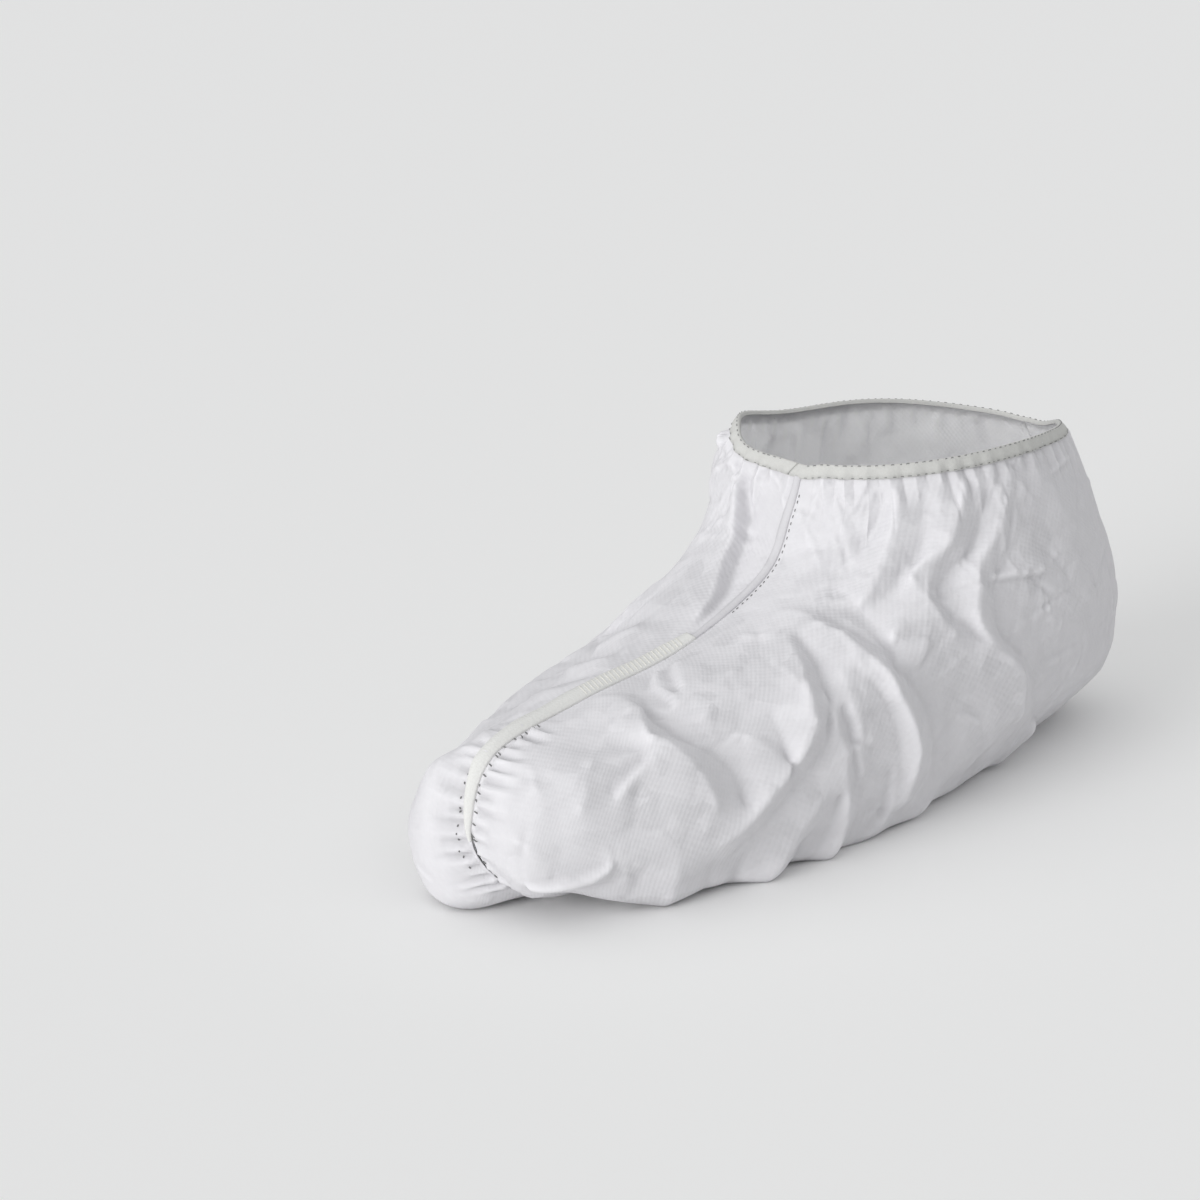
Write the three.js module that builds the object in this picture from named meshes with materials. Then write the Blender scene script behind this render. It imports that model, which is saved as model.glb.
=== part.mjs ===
// Slip-on shoe cover of thin nonwoven cloth: two side panels sewn along the middle, a folded tape over the
// front seam and an elastic tape round the opening.
// Millimetres, +Z up, toe towards -Y, heel towards +Y, sole on z = 0.
import * as THREE from 'three';

// Driving sizes
const WALL = 1.2;               // cloth panel, modelled thicker than the real fabric
const GAP = 0.3;                // clearance between pieces that are sewn together
const TAPE = 0.8;               // one leg of the folded top tape
const TOP_TAPE_HEIGHT = 5.2;    // top tape, from the rim down
const SEAM_TAPE_WIDTH = 5.0;
const SEAM_TAPE_THICKNESS = 1.4;
const BALL_Y = -95;             // where the three half widths of a level line are measured
const WAIST_Y = 10;
const HEEL_Y = 115;
const CENTRE_X = 0.59;          // middle of the finished outline, moved to the origin
const CENTRE_Y = 3.94;

// Facets of one panel: columns run from the front seam to the heel, rows from the rim to the sole
const COLUMNS = 52;
const ROWS = 22;
const SAMPLES_PER_RIB = 20;     // steps used to measure round the nose level
const RIB_CROWD = 30;           // how gradually ribs that would miss a level line bunch up at its front
const RIB_SPREAD = 0.06;        // share of their spacing that bunched ribs keep
const LEFT = 1;                 // +X
const RIGHT = -1;               // -X

// Level lines, one row each, from the opening down to the middle of the sole.
// front is the full front of the cloth, seam is where the stitching pulls it to, back is the heel line.
const LEVEL_NAMES = ['frontY', 'frontZ', 'seamY', 'seamZ', 'backY', 'backZ', 'ball', 'waist', 'heel', 'fullness'];
const LEVELS = [
  [  13, 130,   13, 130, 150, 122, 50, 53, 50, 2.0],    // rim
  [   8, 113,    6, 113, 157, 112, 52, 58, 54, 2.1],    // collar
  [ -10,  92,   -9,  91, 166,  95, 54, 62, 58, 2.2],    // ankle
  [ -58,  77,  -57,  74, 176,  78, 55, 65, 64, 2.3],    // instep
  [-115,  70, -114,  67, 183,  62, 58, 66, 67, 2.35],   // vamp
  [-163,  61, -159,  58, 187,  46, 62, 66, 67, 2.4],    // toe top
  [-181,  36, -171,  35, 186,  28, 65, 65, 63, 2.5],    // nose
  [-181,  14, -168,  18, 175,  11, 62, 59, 50, 2.5],    // welt
  [-172,   0, -150,   4, 150,   0, 53, 48, 34, 2.4],    // tread edge
  [-132,   0, -128,   0, 122,   0,  0,  0,  0, 2.2],    // middle of the sole
];
const LAST_LEVEL = LEVELS.length - 1;
const TREAD_LEVEL = LAST_LEVEL - 1;     // from here in, the sole is flat and needs one row of facets
const NOSE_LEVEL = 6;                   // the longest level line

// Broad swells of one side, centred at a place on the panel (round is the share of the way from the front
// seam to the heel) and fading over a reach.
const SWELL_NAMES = ['side', 'round', 'level', 'roundReach', 'levelReach', 'out', 'up'];
const SWELLS = [
  [RIGHT, 0.23, 0.0, 0.16, 1.1, 10,   8],    // front corner of the rim stands up
  [RIGHT, 0.60, 0.0, 0.28, 0.9,  0,   7],    // side of the rim is high
  [RIGHT, 0.14, 1.5, 0.13, 1.2, 14,   2],    // ankle bulges
  [RIGHT, 0.20, 4.4, 0.14, 1.3,  0, -10],    // toe top is low
  [LEFT,  0.20, 4.2, 0.14, 1.2,  0,  -4],    // toe top is low
  [LEFT,  0.55, 0.0, 0.40, 1.0, -3,   8],    // rim is drawn in and up
  [LEFT,  0.20, 8.0, 0.12, 0.9, -5,   0],    // toe edge turns under
];
const SWELL_EDGE = 0.06;        // swells fade out this close to the seam and the heel line

// How far from the front seam its stitching still draws the cloth in, by level
const PULL_NAMES = ['level', 'left', 'right'];
const PULLS = [
  [0, 10, 10],
  [4, 12, 10],
  [6, 16, 10],
  [8, 34,  9],
  [9, 34,  9],
];

// Folds, one row each: a curve through three places on the panel, its half width and its height.
// A fold with a negative height is a hollow.
const FOLD_NAMES = [
  'side', 'startRound', 'startLevel', 'midRound', 'midLevel', 'endRound', 'endLevel', 'halfWidth', 'height',
];
const FOLDS = [
  [LEFT, 0.09, 2.30, 0.42, 4.20, 0.515, 7.0, 11,  6.0],    // big ridge from the instep
  [LEFT, 0.22, 2.30, 0.50, 3.90, 0.575, 6.6, 11, -5.0],    // hollow behind it
  [LEFT, 0.11, 2.55, 0.31, 3.90, 0.40,  6.0,  8, -4.5],    // hollow before it
  [LEFT, 0.17, 3.60, 0.30, 4.30, 0.35,  5.7, 12,  4.0],    // dome over the ball
  [LEFT, 0.13, 4.30, 0.25, 5.00, 0.31,  6.3, 11, -4.5],    // pocket below the dome
  [LEFT, 0.20, 4.90, 0.18, 5.70, 0.17,  6.3, 12,  2.5],    // toe swell
  [LEFT, 0.24, 6.20, 0.17, 6.60, 0.11,  7.0,  7,  2.5],    // toe lip
  [LEFT, 0.29, 5.80, 0.295, 6.6, 0.285, 7.6,  6, -3.0],    // lower pleats
  [LEFT, 0.36, 6.00, 0.37, 6.80, 0.36,  7.6,  6, -3.0],
  [LEFT, 0.44, 6.20, 0.45, 6.90, 0.44,  7.6,  6, -3.0],
  [LEFT, 0.25, 1.80, 0.46, 3.30, 0.61,  5.6, 12,  5.0],    // rear ridge
  [LEFT, 0.33, 1.90, 0.55, 3.40, 0.67,  5.6, 11, -4.5],    // hollow behind it
  [LEFT, 0.44, 2.35, 0.56, 2.70, 0.72,  3.0,  6, -3.5],    // heel crease
  [LEFT, 0.62, 3.60, 0.72, 4.40, 0.80,  5.6, 10,  3.5],    // heel fold
  [LEFT, 0.70, 6.30, 0.74, 7.00, 0.76,  7.8,  8, -5.0],    // heel tuck
  [LEFT, 0.10, 0.60, 0.095, 1.3, 0.085, 1.9,  6, -2.0],    // collar pleats
  [LEFT, 0.22, 0.50, 0.20, 1.10, 0.17,  1.7,  6, -2.5],
  [LEFT, 0.36, 0.50, 0.33, 1.00, 0.31,  1.6,  6, -2.5],
  [LEFT, 0.46, 0.60, 0.46, 1.30, 0.50,  2.1,  6, -2.5],
  [LEFT, 0.60, 0.50, 0.61, 1.20, 0.64,  1.9,  6, -2.5],
  [LEFT, 0.76, 0.50, 0.77, 1.20, 0.79,  2.0,  6, -2.5],
  [RIGHT, 0.11, 0.50, 0.065, 1.5, 0.02, 2.5,  6, -3.0],    // pleats beside the seam
  [RIGHT, 0.15, 0.60, 0.125, 1.4, 0.12, 2.2,  6, -2.5],
  [RIGHT, 0.10, 2.30, 0.24, 3.60, 0.30, 6.0, 12,  4.0],    // instep ridge
  [RIGHT, 0.14, 2.90, 0.32, 4.20, 0.39, 6.4, 11, -4.0],    // hollow behind it
  [RIGHT, 0.35, 1.70, 0.52, 3.20, 0.60, 5.8, 12,  5.0],    // rear ridge
  [RIGHT, 0.43, 1.90, 0.60, 3.40, 0.67, 5.6, 11, -4.5],    // hollow behind it
  [RIGHT, 0.32, 6.00, 0.33, 6.80, 0.32, 7.6,  6, -3.0],    // lower pleats
  [RIGHT, 0.42, 6.00, 0.43, 6.80, 0.42, 7.6,  6, -3.0],
  [RIGHT, 0.55, 6.00, 0.55, 6.80, 0.54, 7.6,  6, -3.0],
  [RIGHT, 0.72, 6.30, 0.75, 7.00, 0.77, 7.8,  8, -4.0],    // heel tuck
  [RIGHT, 0.32, 0.50, 0.33, 1.10, 0.34, 1.8,  6, -2.5],    // collar pleats
  [RIGHT, 0.46, 0.50, 0.46, 1.10, 0.47, 1.8,  6, -2.5],
  [RIGHT, 0.61, 0.50, 0.62, 1.10, 0.63, 1.9,  6, -2.5],
  [RIGHT, 0.78, 0.50, 0.78, 1.10, 0.79, 1.9,  6, -2.5],
];
const FOLD_STEPS = 16;          // straight stretches that stand for one fold's curve
const FOLD_END = 0.25;          // share of a fold's length over which it fades at each end
const SEAM_CLEAR = 9;           // folds fade out this close to the middle plane

// How the seam tape leans away from the right panel, by level
const LEAN_NAMES = ['level', 'degrees'];
const LEANS = [
  [0.4,  0],
  [4.5,  0],
  [6.0, 45],
  [7.5, 45],
];
const SEAM_TAPE_SHARES = [0, 0.5, 1];     // corners across the tape
const SEAM_TAPE_FIRST_ROW = 1;
const SEAM_TAPE_LAST_ROW = 20;

const CLOTH_COLOUR = 0xe6e6e8;
const TAPE_COLOUR = 0xe8e6df;

// Small maths

const smoothStep = (share) => THREE.MathUtils.smoothstep(share, 0, 1);

const named = (names, row) => Object.fromEntries(names.map((name, index) => [name, row[index]]));

// Value of a table's column at a level, in straight stretches between its rows
function alongTable(names, rows, column, level) {
  const table = rows.map((row) => named(names, row));
  const next = table.findIndex((row) => row.level >= level);
  if (next === -1) return table.at(-1)[column];
  if (next === 0) return table[0][column];
  const before = table[next - 1];
  const after = table[next];
  const share = (level - before.level) / (after.level - before.level);
  return THREE.MathUtils.lerp(before[column], after[column], share);
}

// Level line at any height: a smooth curve through the rows of LEVELS
function levelLine(level) {
  const first = Math.min(Math.floor(level), LAST_LEVEL - 1);
  const t = level - first;
  const p1 = LEVELS[first];
  const p2 = LEVELS[first + 1];
  const row = p1.map((value, column) => {
    const before = first > 0 ? LEVELS[first - 1][column] : 2 * value - p2[column];
    const after = first + 2 <= LAST_LEVEL ? LEVELS[first + 2][column] : 2 * p2[column] - value;
    const slope = p2[column] - before;
    const curve = 2 * before - 5 * value + 4 * p2[column] - after;
    const twist = 3 * value - before - 3 * p2[column] + after;
    return 0.5 * (2 * value + slope * t + curve * t * t + twist * t * t * t);
  });
  return named(LEVEL_NAMES, row);
}

// Panel surface

function halfWidth(line, y) {
  const toWaist = smoothStep((y - BALL_Y) / (WAIST_Y - BALL_Y));
  const toHeel = smoothStep((y - WAIST_Y) / (HEEL_Y - WAIST_Y));
  return line.ball + (line.waist - line.ball) * toWaist + (line.heel - line.waist) * toHeel;
}

function swellAt(round, level, side) {
  const move = { out: 0, up: 0 };
  for (const row of SWELLS) {
    const swell = named(SWELL_NAMES, row);
    if (swell.side !== side) continue;
    const acrossRound = (round - swell.round) / swell.roundReach;
    const acrossLevel = (level - swell.level) / swell.levelReach;
    const edges = smoothStep(round / SWELL_EDGE) * smoothStep((1 - round) / SWELL_EDGE);
    const share = Math.exp(-(acrossRound ** 2) - acrossLevel ** 2) * edges;
    move.out += swell.out * share;
    move.up += swell.up * share;
  }
  return move;
}

const alongLine = (line, round) =>
  THREE.MathUtils.lerp(line.frontY, line.backY, (1 - Math.cos(Math.PI * round)) / 2);

// Full shape of a panel before stitching: round 0 is the front seam, 1 is the heel line
function fullPoint(round, level, side) {
  const line = levelLine(level);
  const turn = Math.cos(Math.PI * round);
  const y = alongLine(line, round);
  const bow = Math.max(1 - Math.abs(turn) ** line.fullness, 0) ** (1 / line.fullness);
  const z = THREE.MathUtils.lerp(line.frontZ, line.backZ, (1 - turn) / 2);
  const swell = swellAt(round, level, side);
  const x = halfWidth(line, y) * bow + swell.out;
  return new THREE.Vector3(side * x, y, Math.max(z + swell.up, 0));
}

// Mesh of a panel: ribs are spaced evenly round the nose level and run straight down the sides

const levelOfRow = (row) => (row === ROWS ? LAST_LEVEL : (TREAD_LEVEL * row) / (ROWS - 1));

// Place of every rib along the length of the cover
function ribStations() {
  const samples = COLUMNS * SAMPLES_PER_RIB;
  const points = Array.from({ length: samples + 1 }, (_sample, sample) =>
    fullPoint(sample / samples, NOSE_LEVEL, LEFT));
  const travelled = [0];
  for (let sample = 1; sample <= samples; sample += 1) {
    travelled.push(travelled[sample - 1] + points[sample].distanceTo(points[sample - 1]));
  }
  return Array.from({ length: COLUMNS + 1 }, (_column, column) => {
    const wanted = (travelled[samples] * column) / COLUMNS;
    return points[Math.max(travelled.findLastIndex((distance) => distance <= wanted), 0)].y;
  });
}

const STATIONS = ribStations();

// Share of the way round a level line at which a rib crosses it
function roundOfRib(column, level) {
  const line = levelLine(level);
  const crowded = (y) => RIB_CROWD * Math.log1p(Math.exp((y - line.frontY) / RIB_CROWD)) + RIB_SPREAD * y;
  const first = crowded(STATIONS[0]);
  const last = crowded(STATIONS[COLUMNS]);
  const share = (crowded(STATIONS[column]) - first) / (last - first);
  return Math.acos(1 - 2 * share) / Math.PI;
}

const emptyGrid = (make) => Array.from({ length: ROWS + 1 }, (_row, row) =>
  Array.from({ length: COLUMNS + 1 }, (_column, column) => make(row, column)));

// Panel drawn in to the stitched front seam
function sewnGrid(side) {
  const grid = emptyGrid((row, column) => {
    const level = levelOfRow(row);
    return fullPoint(roundOfRib(column, level), level, side);
  });
  grid.forEach((points, row) => {
    const level = levelOfRow(row);
    const line = levelLine(level);
    const reach = alongTable(PULL_NAMES, PULLS, side === LEFT ? 'left' : 'right', level);
    const pull = new THREE.Vector3(0, line.seamY - line.frontY, line.seamZ - line.frontZ);
    let away = 0;
    let last = points[0].clone();
    for (const point of points) {
      away += point.distanceTo(last);
      last = point.clone();
      point.addScaledVector(pull, Math.exp(-((away / reach) ** 2)));
      point.z = Math.max(point.z, 0);
    }
  });
  return grid;
}

// Outward normals; on the middle plane they have no sideways part
function gridNormals(grid, side) {
  return emptyGrid((row, column) => {
    const down = grid[Math.min(row + 1, ROWS)][column].clone().sub(grid[Math.max(row - 1, 0)][column]);
    const along = grid[row][Math.min(column + 1, COLUMNS)].clone().sub(grid[row][Math.max(column - 1, 0)]);
    const normal = down.cross(along).multiplyScalar(side);
    if (column === 0 || column === COLUMNS || row === ROWS) normal.x = 0;
    return normal.normalize();
  });
}

// Folds

function foldCurve(fold) {
  return Array.from({ length: FOLD_STEPS + 1 }, (_step, step) => {
    const t = step / FOLD_STEPS;
    const start = (1 - t) * (1 - 2 * t);
    const middle = 4 * t * (1 - t);
    const end = t * (2 * t - 1);
    const round = start * fold.startRound + middle * fold.midRound + end * fold.endRound;
    const level = start * fold.startLevel + middle * fold.midLevel + end * fold.endLevel;
    return fullPoint(round, level, fold.side);
  });
}

// Nearest distance from a point to a fold's curve, and how far along the curve that is
function nearestOnCurve(point, curve) {
  const nearest = { distance: Infinity, along: 0 };
  const spot = new THREE.Vector3();
  const stretch = new THREE.Line3();
  for (let step = 0; step < curve.length - 1; step += 1) {
    stretch.set(curve[step], curve[step + 1]);
    const share = stretch.closestPointToPointParameter(point, true);
    const distance = stretch.at(share, spot).distanceTo(point);
    if (distance < nearest.distance) {
      nearest.distance = distance;
      nearest.along = (step + share) / (curve.length - 1);
    }
  }
  return nearest;
}

function foldHeightAt(point, folds) {
  let height = 0;
  for (const fold of folds) {
    const { distance, along } = nearestOnCurve(point, fold.curve);
    const ends = smoothStep(along / FOLD_END) * smoothStep((1 - along) / FOLD_END);
    height += fold.height * ends * Math.exp(-((distance / fold.halfWidth) ** 2));
  }
  return height * smoothStep(Math.abs(point.x) / SEAM_CLEAR);
}

// Outer and inner faces of one panel, as grids of points
function panelFaces(side) {
  const folds = FOLDS.map((row) => named(FOLD_NAMES, row)).filter((fold) => fold.side === side);
  for (const fold of folds) fold.curve = foldCurve(fold);
  const sewn = sewnGrid(side);
  const sewnNormals = gridNormals(sewn, side);
  const outer = emptyGrid((row, column) => {
    const point = sewn[row][column];
    const folded = point.clone().addScaledVector(sewnNormals[row][column], foldHeightAt(point, folds));
    const onSeam = column === 0 || column === COLUMNS || row === ROWS;
    if (onSeam) folded.x = (side * GAP) / 2;
    folded.z = Math.max(folded.z, 0);
    return folded;
  });
  const normals = gridNormals(outer, side);
  const inner = emptyGrid((row, column) => outer[row][column].clone().addScaledVector(normals[row][column], -WALL));
  return { side, outer, inner, normals };
}

// Solids from grids of points

function geometryFrom(points, triangles) {
  const geometry = new THREE.BufferGeometry().setFromPoints(points);
  geometry.setIndex(triangles);
  geometry.computeVertexNormals();
  return geometry;
}

const quad = (a, b, c, d) => [a, b, c, a, c, d];

// Closed wall between an outer and an inner grid
function wallGeometry({ side, outer, inner }) {
  const points = [...outer.flat(), ...inner.flat()];
  const width = COLUMNS + 1;
  const innerStart = width * (ROWS + 1);
  const outside = (row, column) => row * width + column;
  const inside = (row, column) => innerStart + row * width + column;
  const faces = [];
  for (let row = 0; row < ROWS; row += 1) {
    for (let column = 0; column < COLUMNS; column += 1) {
      const next = column + 1;
      const below = row + 1;
      faces.push(quad(outside(row, column), outside(below, column), outside(below, next), outside(row, next)));
      faces.push(quad(inside(row, column), inside(row, next), inside(below, next), inside(below, column)));
    }
  }
  for (let column = 0; column < COLUMNS; column += 1) {
    const next = column + 1;
    faces.push(quad(outside(0, column), outside(0, next), inside(0, next), inside(0, column)));
    faces.push(quad(outside(ROWS, next), outside(ROWS, column), inside(ROWS, column), inside(ROWS, next)));
  }
  for (let row = 0; row < ROWS; row += 1) {
    const below = row + 1;
    faces.push(quad(outside(below, 0), outside(row, 0), inside(row, 0), inside(below, 0)));
    faces.push(quad(outside(row, COLUMNS), outside(below, COLUMNS), inside(below, COLUMNS), inside(row, COLUMNS)));
  }
  if (side === RIGHT) faces.forEach((face) => face.reverse());
  return geometryFrom(points, faces.flat());
}

// Solid swept through a list of sections with the same number of corners
function sweptGeometry(sections, closed) {
  const corners = sections[0].length;
  const steps = closed ? sections.length : sections.length - 1;
  const at = (section, corner) => (section % sections.length) * corners + (corner % corners);
  const faces = [];
  for (let step = 0; step < steps; step += 1) {
    for (let corner = 0; corner < corners; corner += 1) {
      faces.push(quad(at(step, corner), at(step, corner + 1), at(step + 1, corner + 1), at(step + 1, corner)));
    }
  }
  if (!closed) {
    const last = sections.length - 1;
    for (let corner = 0; corner < corners / 2 - 1; corner += 1) {
      const far = corners - 1 - corner;
      faces.push(quad(at(0, far), at(0, far - 1), at(0, corner + 1), at(0, corner)));
      faces.push(quad(at(last, corner), at(last, corner + 1), at(last, far - 1), at(last, far)));
    }
  }
  return geometryFrom(sections.flat(), faces.flat());
}

// Point beside a panel: off its outer face, part of the way from one grid point to a neighbour
function besidePanel(panel, [rowA, columnA], [rowB, columnB], share, off) {
  const from = panel.outer[rowA][columnA].clone().addScaledVector(panel.normals[rowA][columnA], off);
  const to = panel.outer[rowB][columnB].clone().addScaledVector(panel.normals[rowB][columnB], off);
  return from.lerp(to, share);
}

// U section of the top tape over one column of a panel's rim
function topTapeSection(panel, column) {
  const drop = panel.outer[0][column].distanceTo(panel.outer[1][column]);
  const corner = (off, down) => besidePanel(panel, [0, column], [1, column], down / drop, off);
  const channelOut = GAP;
  const channelIn = -WALL - GAP;
  return [
    corner(channelOut + TAPE, -GAP - TAPE),
    corner(channelOut + TAPE, TOP_TAPE_HEIGHT),
    corner(channelOut, TOP_TAPE_HEIGHT),
    corner(channelOut, -GAP),
    corner(channelIn, -GAP),
    corner(channelIn, TOP_TAPE_HEIGHT),
    corner(channelIn - TAPE, TOP_TAPE_HEIGHT),
    corner(channelIn - TAPE, -GAP - TAPE),
  ];
}

function topTapeGeometry(left, right) {
  const sections = [];
  for (let column = 0; column <= COLUMNS; column += 1) sections.push(topTapeSection(left, column));
  for (let column = COLUMNS - 1; column > 0; column -= 1) sections.push(topTapeSection(right, column));
  return sweptGeometry(sections, true);
}

// Point off a panel at a distance from the front seam, measured along one row of its outer face
function besideSeam(panel, row, away, off) {
  let column = 0;
  let left = away;
  let stretch = panel.outer[row][0].distanceTo(panel.outer[row][1]);
  while (left > stretch) {
    left -= stretch;
    column += 1;
    stretch = panel.outer[row][column].distanceTo(panel.outer[row][column + 1]);
  }
  return besidePanel(panel, [row, column], [row, column + 1], left / stretch, off);
}

// Seam tape: lies on the right panel beside the seam and stands up round the toe
function seamTapeSection(panel, row) {
  const lean = THREE.MathUtils.degToRad(alongTable(LEAN_NAMES, LEANS, 'degrees', levelOfRow(row)));
  const corner = (share, thickness) => {
    const across = share * SEAM_TAPE_WIDTH;
    return besideSeam(panel, row, GAP + across * Math.cos(lean), GAP + across * Math.sin(lean) + thickness);
  };
  const bottom = SEAM_TAPE_SHARES.map((share) => corner(share, 0));
  const top = SEAM_TAPE_SHARES.map((share) => corner(share, SEAM_TAPE_THICKNESS));
  return [...top, ...bottom.reverse()];
}

function seamTapeGeometry(panel) {
  const sections = [];
  for (let row = SEAM_TAPE_FIRST_ROW; row <= SEAM_TAPE_LAST_ROW; row += 1) {
    sections.push(seamTapeSection(panel, row));
  }
  return sweptGeometry(sections, false);
}

// Assembly

function piece(name, geometry, colour) {
  const material = new THREE.MeshStandardMaterial({ color: colour, roughness: 0.85, metalness: 0 });
  const mesh = new THREE.Mesh(geometry, material);
  mesh.name = name;
  return mesh;
}

function buildShoeCover() {
  const left = panelFaces(LEFT);
  const right = panelFaces(RIGHT);
  const cover = new THREE.Group();
  cover.name = 'shoe_cover';
  cover.add(piece('left_panel', wallGeometry(left), CLOTH_COLOUR));
  cover.add(piece('right_panel', wallGeometry(right), CLOTH_COLOUR));
  cover.add(piece('top_binding', topTapeGeometry(left, right), TAPE_COLOUR));
  cover.add(piece('seam_binding', seamTapeGeometry(right), TAPE_COLOUR));
  cover.position.set(-CENTRE_X, -CENTRE_Y, 0);
  return cover;
}

export default buildShoeCover();
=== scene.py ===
"""Slip-on shoe cover of thin nonwoven cloth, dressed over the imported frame.

Two crumpled cloth panels, a stitched elastic tape round the opening and a folded tape along the front seam.
Shapes are worked out in millimetres, toe towards -Y, and handed to Blender in metres.
"""
import math

import bpy
import numpy as np
from mathutils import Matrix


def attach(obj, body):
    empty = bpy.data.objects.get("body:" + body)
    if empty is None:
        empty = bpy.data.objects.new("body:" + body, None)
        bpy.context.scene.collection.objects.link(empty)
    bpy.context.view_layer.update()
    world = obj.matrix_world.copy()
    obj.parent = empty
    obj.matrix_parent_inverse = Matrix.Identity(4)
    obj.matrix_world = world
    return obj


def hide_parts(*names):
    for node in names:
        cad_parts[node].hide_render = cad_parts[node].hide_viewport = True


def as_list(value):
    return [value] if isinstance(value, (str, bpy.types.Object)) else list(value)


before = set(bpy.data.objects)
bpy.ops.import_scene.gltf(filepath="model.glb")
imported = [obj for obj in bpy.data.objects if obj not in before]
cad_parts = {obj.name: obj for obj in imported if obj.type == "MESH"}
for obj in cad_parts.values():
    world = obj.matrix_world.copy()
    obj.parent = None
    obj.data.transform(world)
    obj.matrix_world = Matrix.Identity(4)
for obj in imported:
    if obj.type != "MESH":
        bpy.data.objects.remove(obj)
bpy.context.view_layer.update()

# Driving sizes, in millimetres
MM = 0.001
CENTRE = np.array([0.59, 3.94, 0.0])  # middle of the outline, which the frame puts at its origin
CLOTH = 0.5  # cloth as shown
SEAM_GAP = 0.04  # between the panels along the middle plane
TOE_GAP = ((6.1, 6.4, 7.0, 7.3), (0.04, 1.6, 1.4, 0.04))  # the front seam gapes at these levels, by so much
TAPE = 0.55  # one leg of the folded top tape
TAPE_CLEAR = 0.25  # between tape and cloth
TOP_TAPE_HEIGHT = 5.0
TOP_TAPE_INNER = 0.4  # its inner leg is turned in less far
SEAM_TAPE_THICKNESS = 0.7
BALL_Y = -95  # where the three half widths of a level line are measured
WAIST_Y = 10
HEEL_Y = 115
LEFT = 1  # +X
RIGHT = -1  # -X
CLOTH_GRAIN = 30  # how the embossed grid is turned on a panel, in degrees
CLOTH_ALONG = 1.25  # flat cloth to a length of panel at the middle, and what it loses further out
CLOTH_NARROWING = 0.007
CLOTH_UP = 0.85

# Mesh of one panel: columns run from the front seam to the heel, rows from the rim to the sole
COLUMNS = 380  # an even number, as the sum of the rows is
SIDE_ROWS = 190
SOLE_ROWS = 14
INNER_STEP = 2  # the inner face has every second point of the outer one
RIB_CROWD = 30  # how gradually ribs that miss a level line bunch up at its front
RIB_SPREAD = 0.06  # share of their spacing that bunched ribs keep
STATION_SAMPLES = 6000  # steps used to measure round the nose level

# Level lines, one row each, from the opening down to the middle of the sole.
# front is the full front of the cloth, seam is where the stitching pulls it to, back is the heel line.
LEVEL_NAMES = ("front_y", "front_z", "seam_y", "seam_z", "back_y", "back_z", "ball", "waist", "heel",
               "fullness")
LEVELS = np.array([
    (  13, 130,   13, 130, 150, 122, 50, 53, 50, 2.00),  # rim
    (   8, 113,    6, 113, 157, 112, 52, 58, 54, 2.10),  # collar
    ( -10,  92,   -9,  91, 166,  95, 54, 62, 58, 2.20),  # ankle
    ( -58,  77,  -57,  74, 176,  78, 55, 65, 64, 2.30),  # instep
    (-115,  70, -114,  67, 183,  62, 58, 66, 67, 2.35),  # vamp
    (-163,  61, -159,  58, 187,  46, 62, 66, 67, 2.40),  # toe top
    (-181,  36, -171,  35, 186,  28, 65, 65, 63, 2.50),  # nose
    (-181,  14, -168,  18, 175,  11, 62, 59, 50, 2.50),  # welt
    (-172,   0, -150,   6, 150,   0, 53, 48, 34, 2.40),  # tread edge
    (-132,   0, -128,   0, 122,   0,  0,  0,  0, 2.20),  # middle of the sole
])
LAST_LEVEL = len(LEVELS) - 1
TREAD_LEVEL = LAST_LEVEL - 1
NOSE_LEVEL = 6

# Broad swells: side, place as round and level, reach of both, and how far out and up.
# round is the share of the way from the front seam to the heel.
SWELLS = (
    (RIGHT, 0.23, 0.0, 0.16, 1.1, 10,   8),  # front corner of the rim stands up
    (RIGHT, 0.58, 0.0, 0.26, 0.9,  0,   5),  # side of the rim is high
    (RIGHT, 0.10, 0.0, 0.07, 0.9,  7,  -3),  # front of the rim is blunt
    (RIGHT, 0.18, 0.9, 0.08, 0.5,  5,   0),  # cloth stands out below the corner of the rim
    (RIGHT, 0.14, 1.5, 0.13, 1.2, 14,   2),  # ankle bulges
    (RIGHT, 0.20, 4.4, 0.14, 1.3,  0, -10),  # toe top is low
    (RIGHT, 0.15, 5.4, 0.10, 0.7,  0,  -6),
    (RIGHT, 0.08, 5.5, 0.07, 0.45, 2,   7),  # toe front is full
    (LEFT,  0.20, 4.2, 0.14, 1.2,  0,  -4),  # toe top is low
    (LEFT,  0.55, 0.0, 0.40, 1.0, -3,   8),  # rim is drawn in and up
    (LEFT,  0.93, 0.0, 0.08, 0.9,  0,  -3),
    (LEFT,  0.20, 8.0, 0.12, 0.9, -5,   0),  # toe edge turns under
    (LEFT,  0.15, 8.0, 0.09, 0.9,  0,   6),  # and is drawn up
)
SWELL_EDGE = 0.06

# How far from the front seam its stitching still draws the cloth in, by level
PULL_LEVELS = (0, 4, 6, 8, 9)
PULL_REACH = {LEFT: (10, 12, 16, 34, 34), RIGHT: (10, 10, 10, 9, 9)}

# Under the toe the front seam runs off to the left
TOE_TWIST = 12
TOE_TWIST_REACH = 20  # to either side of the middle plane
TOE_TWIST_TOP = 36  # it starts below this height
TOE_TWIST_BACK = (-90, -140)  # and grows between these places along the cover

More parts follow.
